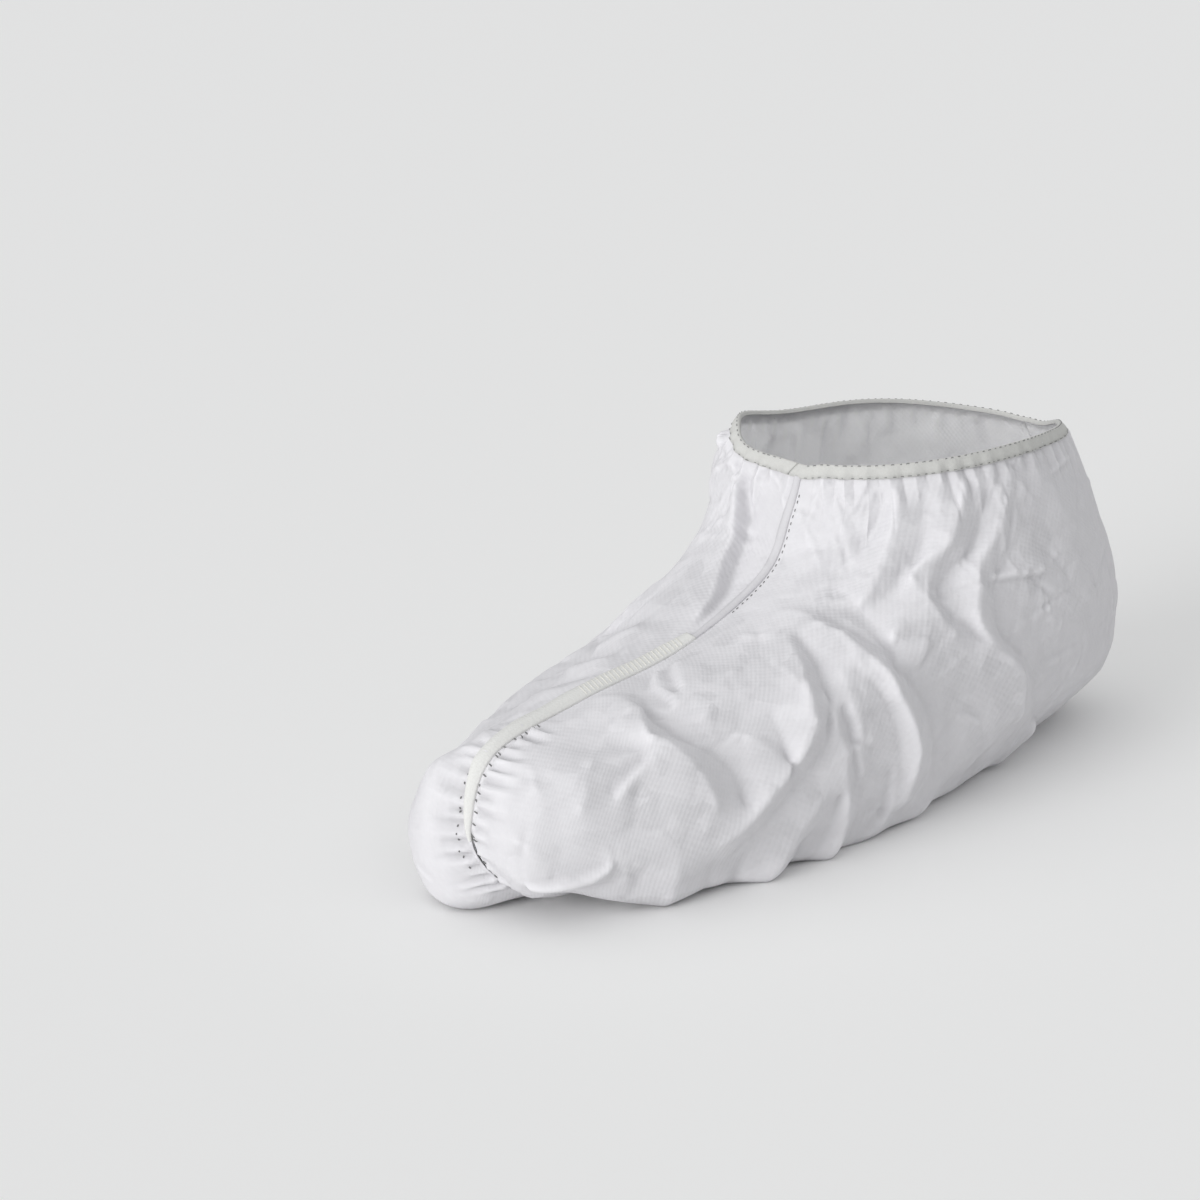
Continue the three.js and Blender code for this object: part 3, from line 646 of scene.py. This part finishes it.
def panel_faces(side):
    """Outer and inner faces of one panel, as grids of points."""
    sewn, levels = sewn_grid(side)
    sewn_normals = grid_normals(sewn, side)
    from_rim = travelled(sewn, 0)
    from_seam = travelled(sewn, 1)
    random = np.random.default_rng(PANEL_SEEDS[side])
    folds, wrinkles = ({"strength": flat_hold(from_rim, from_seam, levels), "pull": np.zeros(from_rim.shape)}
                       for _ in range(2))
    hold_creases(folds, sewn, sewn_normals, side)
    hold_gathers(folds, side, from_rim, from_seam, levels, random)
    hold_wrinkles(wrinkles, sewn, sewn_normals, levels, random)
    height = settle_skin(sewn, folds, SKIN_REACH) + settle_skin(sewn, wrinkles, WRINKLE_REACH)
    outer = sewn + sewn_normals * height[..., None]
    inner = sewn + sewn_normals * (lowest_nearby(height) - CLOTH)[..., None]
    for face in (outer, inner):
        for edge in (np.s_[:, 0], np.s_[:, -1], np.s_[-1, :]):
            face[edge + (0,)] = side * SEAM_GAP / 2
        face[:, 0, 0] = side * np.interp(levels, *TOE_GAP) / 2
        face[..., 2] = np.maximum(face[..., 2], 0)
    outer, inner, sewn = twisted(outer), twisted(inner), twisted(sewn)
    return {
        "side": side,
        "outer": outer,
        "normals": grid_normals(outer, side),
        "inner": inner[::INNER_STEP, ::INNER_STEP],
        "levels": levels,
        "from_rim": from_rim,
        "from_seam": travelled(outer, 1),
        "smooth": {"outer": sewn, "normals": sewn_normals, "levels": levels, "from_seam": from_seam},
    }


# Meshes

def to_scene(points):
    return (np.asarray(points).reshape(-1, 3) - CENTRE) * MM


def mesh_object(name, points, faces, material):
    mesh = bpy.data.meshes.new(name)
    mesh.from_pydata(to_scene(points).tolist(), [], list(faces))
    mesh.polygons.foreach_set("use_smooth", [True] * len(mesh.polygons))
    mesh.materials.append(material)
    mesh.update()
    piece = bpy.data.objects.new(name, mesh)
    bpy.context.collection.objects.link(piece)
    return piece


def grid_quads(rows, columns, start):
    """Corners of the quads of a grid of points, row by row."""
    index = start + np.arange(rows * columns).reshape(rows, columns)
    corners = (index[:-1, :-1], index[1:, :-1], index[1:, 1:], index[:-1, 1:])
    return np.stack(corners, axis=-1).reshape(-1, 4), index


def cloth_places(points):
    """Rough place of each point on the flat cloth: along the cover and up its side, turned by the grain."""
    out = np.abs(points[..., 0])
    along = points[..., 1] * (CLOTH_ALONG - CLOTH_NARROWING * out)
    up = CLOTH_UP * (points[..., 2] - out)
    grain = math.radians(CLOTH_GRAIN)
    return np.stack([along * math.cos(grain) - up * math.sin(grain),
                     along * math.sin(grain) + up * math.cos(grain)], axis=-1)


def lay_out(piece, places):
    """Give every corner of a mesh its place on the flat cloth, in metres."""
    mesh = piece.data
    corner_points = np.empty(len(mesh.loops), int)
    mesh.loops.foreach_get("vertex_index", corner_points)
    layer = mesh.uv_layers.new(name="cloth")
    layer.data.foreach_set("uv", (places[corner_points] * MM).ravel())


def panel_object(name, panel, material, inside_material):
    """Closed wall between the outer and the inner face of a panel."""
    rows, columns = panel["outer"].shape[:2]
    outside, out = grid_quads(rows, columns, 0)
    inside, back = grid_quads(*panel["inner"].shape[:2], rows * columns)
    edges = []
    for edge_out, edge_in in (
        (out[0], back[0]),
        (out[-1, ::-1], back[-1, ::-1]),
        (out[::-1, 0], back[::-1, 0]),
        (out[:, -1], back[:, -1]),
    ):
        last = len(edge_out) - INNER_STEP
        steps = [edge_out[shift:last + shift:INNER_STEP] for shift in range(INNER_STEP + 1)]
        edges.append(np.stack(steps + [edge_in[1:], edge_in[:-1]], axis=-1))
    faces = outside.tolist() + inside[:, ::-1].tolist() + np.concatenate(edges).tolist()
    if panel["side"] == RIGHT:
        faces = [face[::-1] for face in faces]
    points = np.concatenate([panel["outer"].reshape(-1, 3), panel["inner"].reshape(-1, 3)])
    piece = mesh_object(name, points, faces, material)
    piece.data.materials.append(inside_material)
    number = np.arange(len(faces)) - len(outside)
    piece.data.polygons.foreach_set("material_index", ((number >= 0) & (number < len(inside))).astype(int))
    places = cloth_places(panel["smooth"]["outer"])
    inner_places = places[::INNER_STEP, ::INNER_STEP]
    lay_out(piece, np.concatenate([places.reshape(-1, 2), inner_places.reshape(-1, 2)]))
    return piece


# Tapes

def ring_of_rim(panels):
    """Rim of the opening from the front seam round the left side, the heel and the right side."""
    depth_row = np.searchsorted(panels[0]["from_rim"][:, COLUMNS // 2], TOP_TAPE_HEIGHT)
    halves = []
    for panel, order in zip(panels, (1, -1)):
        outer, out = panel["outer"], panel["normals"][0]
        drop = unit(outer[depth_row] - outer[0])
        halves.append([line[::order] for line in (outer[0] - out * CLOTH / 2, out, drop)])
    place, out, drop = (np.concatenate([first, second[1:]]) for first, second in zip(*halves))
    return {"run": travelled(place, 0), "place": place, "out": out, "drop": drop}


def on_ring(ring, run, out, depth):
    """Point beside the rim: run along it, out from the middle of the cloth, and depth below the edge."""
    wrapped = np.mod(run, ring["run"][-1])

    def at(name):
        return np.stack([np.interp(wrapped, ring["run"], ring[name][:, axis]) for axis in range(3)], axis=-1)

    outwards = unit(at("out")) * np.asarray(out)[..., None]
    return at("place") + outwards + unit(at("drop")) * np.asarray(depth)[..., None]


def ripple(run, ripples, seed):
    total = np.zeros_like(run)
    for layer, (pitch, size) in enumerate(ripples):
        total += size * lattice_noise(np.stack([run, 0 * run, 0 * run], axis=-1), pitch, seed + layer)
    return total


def top_tape_grid(ring):
    """Sections of the top tape along its run."""
    half = CLOTH / 2 + TAPE_CLEAR
    full = half + TAPE
    height = TOP_TAPE_HEIGHT
    inner = TOP_TAPE_INNER
    corners = np.array([  # out from the middle of the cloth, and down from its edge
        (full, height), (full + 0.15, height * 0.5), (full, 0.3), (full * 0.55, -0.5),
        (-full * 0.55, -0.5), (-full, 0.3), (-full - 0.1, inner * 0.5), (-full, inner),
        (-half, inner), (-half, 0.1), (half, 0.1), (half, height),
    ])
    length = ring["run"][-1]
    run = np.arange(TAPE_LAP_START, length + TAPE_LAP_END + TAPE_STEP / 2, TAPE_STEP)
    lap = smooth_step((run - (length + TAPE_LAP_START - TAPE_EASE)) / TAPE_EASE)
    slant = TAPE_END_SLANT * smooth_step((run - (length + TAPE_LAP_END - TAPE_EASE)) / TAPE_EASE)
    wave = ripple(run, TAPE_RIPPLES, TAPE_SEED)
    out, depth = np.broadcast_arrays(corners[None, :, 0], corners[None, :, 1])
    lifted = np.where(out > 0, 1.0, TAPE_INNER_LIFT) * (lap * (TAPE + TAPE_LAP_CLEAR))[:, None]
    spread = np.where(out > 0, 1.0, TAPE_INNER_WAVE) * wave[:, None] * np.clip(depth / height, 0, 1)
    droop = (1 + TAPE_DROOP * wave[:, None]) * depth
    along = run[:, None] - slant[:, None] * depth
    return on_ring(ring, along, out + lifted + spread, droop)


def swept_faces(sections, corners):
    """Faces of a sweep with closed sections, capped at both ends."""
    index = np.arange(sections * corners).reshape(sections, corners)
    following = np.roll(index, -1, axis=1)
    sides = np.stack([index[:-1], following[:-1], following[1:], index[1:]], axis=-1).reshape(-1, 4)
    return sides.tolist() + [index[0, ::-1].tolist(), index[-1].tolist()]


def swept_object(name, sections, material):
    return mesh_object(name, sections, swept_faces(*sections.shape[:2]), material)


def beside_seam(panel, levels, away, off):
    """Point on a panel at a distance from the front seam, standing off it."""
    rows = np.interp(levels, panel["levels"], np.arange(len(panel["levels"])))
    low = np.clip(np.floor(rows).astype(int), 0, len(panel["levels"]) - 2)
    share = (rows - low)[:, None]

    def on_rows(name, lines):
        return np.array([
            [np.interp(distance, panel["from_seam"][line], panel[name][line, :, axis]) for axis in range(3)]
            for line, distance in zip(lines, away)])

    place, facing = (on_rows(name, low) * (1 - share) + on_rows(name, low + 1) * share
                     for name in ("outer", "normals"))
    return place + unit(facing) * np.asarray(off)[:, None]


def seam_strip_grid(panel, strip):
    """Sections of a strip beside the front seam, sunk into the gathers, with a top that slopes up."""
    levels = np.linspace(strip["levels"][0], strip["levels"][-1], SEAM_STATIONS)
    run = levels * STRIP_RUN
    seed = strip["seed"]
    width = np.interp(levels, strip["levels"], strip["widths"])
    width = width * (1 + ripple(run, STRIP_WIDTH_RIPPLES, seed))
    lean = np.radians(np.interp(levels, strip["levels"], strip["leans"]))
    lean = lean + ripple(run, STRIP_LEAN_RIPPLES, seed + 10)
    lines = []
    for across, up in STRIP_SECTION:
        top = strip["off"] + across * width * np.sin(lean) + SEAM_TAPE_THICKNESS
        lines.append(beside_seam(panel, levels, across * width + STRIP_START, up * top))
    return np.stack(lines, axis=1), levels


# Stitches

def stitch_points(starts, ends, outs, thread):
    """Small arched threads: six-sided tubes that go into the cloth at both ends."""
    share = np.array([0, 0.12, 0.5, 0.88, 1])[:, None]
    arch = np.array([-0.5, 0.75, 1.1, 0.75, -0.5])[:, None] * thread
    girth = np.array([0.7, 1, 1, 1, 0.7])[:, None, None] * thread
    turn = np.linspace(0, 2 * np.pi, 6, endpoint=False)[:, None]
    across = unit(np.cross(outs, unit(ends - starts)))
    middles = starts[:, None] + (ends - starts)[:, None] * share + outs[:, None] * arch
    spokes = np.cos(turn) * across[:, None] + np.sin(turn) * outs[:, None]
    points = middles[:, :, None] + girth * spokes[:, None]
    tube = swept_faces(len(share), len(turn))
    corners = len(share) * len(turn)
    faces = [[corners * number + corner for corner in face]
             for number in range(len(points)) for face in tube]
    return points, faces


def top_stitches(ring, out, depth, random):
    """A row of slightly uneven stitches on the top tape, along its run."""
    start, end = TOP_STITCH["ends"]
    loose = TOP_STITCH["loose"]
    middles = np.arange(start, ring["run"][-1] - end, TOP_STITCH["pitch"])
    middles = middles + random.uniform(-loose, loose, len(middles))
    half = random.uniform(*TOP_STITCH["length"], len(middles)) / 2
    flat = np.full_like(middles, out)
    deep = np.full_like(middles, depth)
    on_face = depth > 0  # or else on the edge
    wave = ripple(middles, TAPE_RIPPLES, TAPE_SEED) * depth / TOP_TAPE_HEIGHT if on_face else 0
    starts = on_ring(ring, middles - half, flat + wave, deep)
    ends = on_ring(ring, middles + half, flat + wave, deep)
    above = on_ring(ring, middles, flat + 1, deep if on_face else deep - 1)
    return starts, ends, unit(above - on_ring(ring, middles, flat, deep))


def seam_places(panel, stitch, random):
    """Levels of the stitches beside the front seam, unevenly spaced, and a finder of points there."""
    samples = np.linspace(*stitch["levels"], STITCH_SAMPLES)
    away = np.full_like(samples, stitch["away"])
    distance = travelled(beside_seam(panel, samples, away, 0 * samples), 0)
    middles = np.arange(1, distance[-1] - 1, stitch["pitch"])
    middles = middles + random.uniform(-1, 1, len(middles)) * stitch["loose"] * stitch["pitch"]

    def at(shift, away, off):
        levels = np.interp(middles + shift, distance, samples)
        return beside_seam(panel, levels, np.full_like(levels, away), np.full_like(levels, off))

    return at


def seam_stitches(panel, stitch, random):
    """A row of stitches along the front seam."""
    at = seam_places(panel, stitch, random)
    half = stitch["length"] / 2
    away = stitch["away"]
    return at(-half, away, 0), at(half, away, 0), unit(at(0, away, 1) - at(0, away, 0))


def seam_shade_ticks(panel, stitch, random):
    """Short dark threads across the front seam, as painted shade under the tape's edge at each pucker."""
    at = seam_places(panel, stitch, random)
    near, far = stitch["away"], stitch["away"] + stitch["length"]
    return at(0, near, 0), at(TICK_SLANT, far, 0), unit(at(0, far, 1) - at(0, far, 0))


def overlock_stitches(grid, levels):
    """Threads that wrap slantwise over the flat part of the seam tape."""
    start, end = OVERLOCK["levels"]
    rows = np.flatnonzero((levels > start) & (levels < end))[::OVERLOCK["every"]]
    near, far = grid[rows + OVERLOCK["slant"], STRIP_NEAR], grid[rows, STRIP_FAR]
    return near, far, unit(grid[rows, STRIP_TOP] - grid[rows, STRIP_BOTTOM])


# Materials

def node_maker(shader):
    """Short ways to add nodes with their inputs, and to link an output to the shader."""
    tree = shader.id_data

    def add(kind, inputs=(), **settings):
        node = tree.nodes.new(kind)
        for name, value in settings.items():
            setattr(node, name, value)
        for socket, value in dict(inputs).items():
            if isinstance(value, bpy.types.NodeSocket):
                tree.links.new(value, node.inputs[socket])
            else:
                node.inputs[socket].default_value = value
        return node

    def link(output, socket):
        tree.links.new(output, shader.inputs[socket])

    return add, link, add("ShaderNodeTexCoord").outputs["Object"]


def maths(add, operation, *values, kind="ShaderNodeMath"):
    """Result of one step of arithmetic, on numbers unless kind is the node for vectors."""
    return add(kind, dict(enumerate(values)), operation=operation).outputs[0]


def tinted(add, factor, shades, tint):
    """Colour between two shades of grey, with a slight tint."""
    ends = {socket: (*(shade + more for more in tint), 1) for socket, shade in zip("AB", shades)}
    return add("ShaderNodeMix", {"Factor": factor, **ends}, data_type="RGBA").outputs["Result"]


def plain_material(name, colour, roughness, shine=0.3):
    material = bpy.data.materials.new(name)
    material.use_nodes = True
    shader = material.node_tree.nodes["Principled BSDF"]
    shader.inputs["Base Color"].default_value = colour
    shader.inputs["Roughness"].default_value = roughness
    shader.inputs["Specular IOR Level"].default_value = shine
    return material, shader


def embossed_grid(add, pitch):
    """Height of two sets of fine lines pressed in to the cloth."""
    place = add("ShaderNodeSeparateXYZ", {0: add("ShaderNodeUVMap", uv_map="cloth").outputs["UV"]})
    phases = [maths(add, "MULTIPLY", place.outputs[axis], 2 * math.pi / (pitch * MM)) for axis in range(2)]
    return maths(add, "ADD", *(maths(add, "SINE", phase) for phase in phases))


def crumpled(add, place, layers):
    """Normal of cloth with small flat facets between crinkles, from layers of scale and tilt."""
    kind = "ShaderNodeVectorMath"
    sway = add("ShaderNodeTexNoise", {"Vector": place, "Scale": 45, "Detail": 3}).outputs["Color"]
    moved = maths(add, "MULTIPLY_ADD", sway, (0.02, 0.02, 0.02), place, kind=kind)
    normal = add("ShaderNodeNewGeometry").outputs["Normal"]
    for scale, tilt in layers:
        cells = add("ShaderNodeTexVoronoi", {"Vector": moved, "Scale": scale, "Smoothness": 0.12},
                    feature="SMOOTH_F1")
        lean = maths(add, "SUBTRACT", cells.outputs["Color"], (0.5, 0.5, 0.5), kind=kind)
        normal = maths(add, "MULTIPLY_ADD", lean, (tilt, tilt, tilt), normal, kind=kind)
    return maths(add, "NORMALIZE", normal, kind=kind)


def cloth_material(name, glow, shades, crumple):
    """White nonwoven cloth, darkened in its hollows as painted shade and lightened along its crests as
    painted highlight and pale creased lines; glow is the share of light that comes through it, crumple how
    uneven it is.
    """
    material, shader = plain_material(name, (0.80, 0.80, 0.81, 1), 0.8)
    shader.inputs["Subsurface Weight"].default_value = glow
    shader.inputs["Subsurface Radius"].default_value = (1, 1, 1)
    shader.inputs["Subsurface Scale"].default_value = 0.003
    add, link, place = node_maker(shader)
    fibre = add("ShaderNodeTexNoise", {"Vector": place, "Scale": 700, "Detail": 4, "Roughness": 0.7})
    relief = maths(add, "MULTIPLY_ADD", fibre.outputs["Fac"], FIBRE_RELIEF, embossed_grid(add, EMBOSS_PITCH))
    crinkles = crumpled(add, place, [(scale, tilt * crumple) for scale, tilt in CRUMPLES])
    bump = add("ShaderNodeBump", {
        "Height": relief, "Normal": crinkles, "Strength": 0.09, "Distance": 0.0004})
    blotch = add("ShaderNodeTexNoise", {"Vector": place, "Scale": 120, "Detail": 5, "Roughness": 0.65})
    # painted shade in hollows and painted highlight on crests, from pointiness
    bends = add("ShaderNodeMapRange", {
        "Value": add("ShaderNodeNewGeometry").outputs["Pointiness"],
        "From Min": BENDS[0], "From Max": BENDS[1], "To Min": BEND_SHADES[0], "To Max": BEND_SHADES[1]})
    colour = tinted(add, blotch.outputs["Fac"], shades, CLOTH_TINT)
    bend_shade_and_highlight = add("ShaderNodeMix", {"Factor": 1.0, "A": colour, "B": bends.outputs["Result"]},
               data_type="RGBA", blend_type="MULTIPLY")
    link(bend_shade_and_highlight.outputs["Result"], "Base Color")
    link(bump.outputs["Normal"], "Normal")
    return material


def tape_material(name, shades):
    """Ivory tape between two shades, with a fine ribbed weave."""
    material, shader = plain_material(name, (0.78, 0.78, 0.76, 1), 0.85)
    add, link, place = node_maker(shader)
    weave = add("ShaderNodeTexNoise", {"Vector": place, "Scale": 1400, "Detail": 2, "Roughness": 0.6})
    ribs = add("ShaderNodeTexVoronoi", {"Vector": place, "Scale": 900})
    relief = maths(add, "ADD", weave.outputs["Fac"], ribs.outputs["Distance"])
    bump = add("ShaderNodeBump", {"Height": relief, "Strength": 0.3, "Distance": 0.0003})
    link(tinted(add, weave.outputs["Fac"], shades, TAPE_TINT), "Base Color")
    link(bump.outputs["Normal"], "Normal")
    return material


def thread_material(name, colour):
    material, shader = plain_material(name, colour, 0.7)
    add, link, place = node_maker(shader)
    twist = add("ShaderNodeTexWave", {"Vector": place, "Scale": 700, "Distortion": 2.0},
                bands_direction="DIAGONAL")
    bump = add("ShaderNodeBump", {"Height": twist.outputs["Fac"], "Strength": 0.4, "Distance": 0.0001})
    link(bump.outputs["Normal"], "Normal")
    return material


# Studio

def studio():
    bpy.ops.mesh.primitive_plane_add(size=12)
    floor = bpy.context.object
    floor.name = "floor"
    material, shader = plain_material("pale_floor", (0.95, 0.95, 0.945, 1), 0.9, shine=0.5)
    floor.data.materials.append(material)
    world = bpy.data.worlds.new("soft_room")
    world.use_nodes = True
    background = world.node_tree.nodes["Background"]
    background.inputs["Color"].default_value = (0.93, 0.94, 0.95, 1)
    background.inputs["Strength"].default_value = ROOM_LIGHT
    bpy.context.scene.world = world
    bpy.context.scene.view_settings.view_transform = "Standard"


def sunlight(name, towards, softness, strength):
    """Even soft light from far away; towards points from the object to the light."""
    data = bpy.data.lights.new(name, "SUN")
    data.angle = math.radians(softness)
    data.energy = strength
    light = bpy.data.objects.new(name, data)
    bpy.context.collection.objects.link(light)
    forward = -unit(np.asarray(towards, float))
    right = unit(np.cross(forward, (0, 0, 1)))
    light.matrix_world = turned(right, np.cross(right, forward), forward, (0, 0, 2))


def turned(right, up, forward, place):
    """Pose of a camera or light that looks along forward."""
    pose = np.eye(4)
    pose[:3, 0] = right
    pose[:3, 1] = up
    pose[:3, 2] = -np.asarray(forward)
    pose[:3, 3] = place
    return Matrix(pose.tolist())


def camera():
    azimuth = math.radians(CAMERA_AZIMUTH)
    elevation = math.radians(CAMERA_ELEVATION)
    right = np.array([math.cos(azimuth), math.sin(azimuth), 0])
    back = np.array([math.sin(azimuth) * math.cos(elevation), -math.cos(azimuth) * math.cos(elevation),
                     math.sin(elevation)])
    up = np.cross(back, right)
    aim = right * LOOK_RIGHT + up * LOOK_UP
    place = to_scene(aim + back * CAMERA_DISTANCE)[0]
    data = bpy.data.cameras.new("camera")
    data.lens = CAMERA_LENS
    eye = bpy.data.objects.new("camera", data)
    eye.matrix_world = turned(right, up, -back, place)
    bpy.context.collection.objects.link(eye)
    bpy.context.scene.camera = eye


studio()
for light in LIGHTS:
    sunlight(*light)
camera()

cloth = cloth_material("nonwoven_cloth", 0, (0.67, 0.77), 1)
# the inside face is the same cloth made much paler, as painted light on the interior
cloth_inside_painted_light = cloth_material("nonwoven_cloth_inside", 1, (0.93, 0.97), 0.3)
rim_tape = tape_material("rim_tape", (0.56, 0.67))
fold_tape = tape_material("fold_tape", (0.71, 0.84))
# the threads are coloured dark grey as painted shade of the stitch holes
thread = thread_material("thread_dark_as_hole_shade", (0.20, 0.20, 0.20, 1))
pale_thread = thread_material("pale_thread", (0.78, 0.77, 0.72, 1))

left = panel_faces(LEFT)
right = panel_faces(RIGHT)
ring = ring_of_rim((left, right))
panels = [panel_object("left_cloth", left, cloth, cloth_inside_painted_light),
          panel_object("right_cloth", right, cloth, cloth_inside_painted_light)]
top_tape = swept_object("top_tape", top_tape_grid(ring), rim_tape)
seam_sections, seam_levels = seam_strip_grid(right["smooth"], SEAM_TAPE)
seam_tape = swept_object("seam_tape", seam_sections, fold_tape)
seam_lip = swept_object("seam_lip", seam_strip_grid(right["smooth"], SEAM_LIP)[0], cloth)

tape_face = CLOTH / 2 + TAPE_CLEAR + TAPE
random = np.random.default_rng(STITCH_SEED)
hem_out, hem_depth = tape_face + HEM_STITCH["off"], TOP_TAPE_HEIGHT - HEM_STITCH["up"]
rows_of_stitches = (
    ("rim_stitches", top_stitches(ring, RIM_STITCH["out"] * tape_face, RIM_STITCH["depth"], random),
     THREAD, thread),
    ("hem_stitches", top_stitches(ring, hem_out, hem_depth, random), HEM_THREAD, thread),
    ("ankle_stitches", seam_stitches(left, ANKLE_STITCH, random), THREAD, thread),
    ("toe_stitches", seam_stitches(right, TOE_STITCH, random), TOE_THREAD, thread),
    # dark ticks as painted shade under the seam tape's edge
    ("toe_shade_ticks", seam_shade_ticks(left, TOE_TICK, random), TOE_THREAD, thread),
    ("overlock", overlock_stitches(seam_sections, seam_levels), THREAD, pale_thread),
)
stitches = [mesh_object(name, *stitch_points(*row, size), material)
            for name, row, size, material in rows_of_stitches]

for piece, node, slot in zip(panels + [top_tape, seam_tape],
                             ("left_panel", "right_panel", "top_binding", "seam_binding"),
                             ("cloth", "cloth", "tape", "tape")):
    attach(piece, "root")
    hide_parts(node)
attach(seam_lip, "root")
for piece in stitches:
    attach(piece, "root")
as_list(stitches[:2])
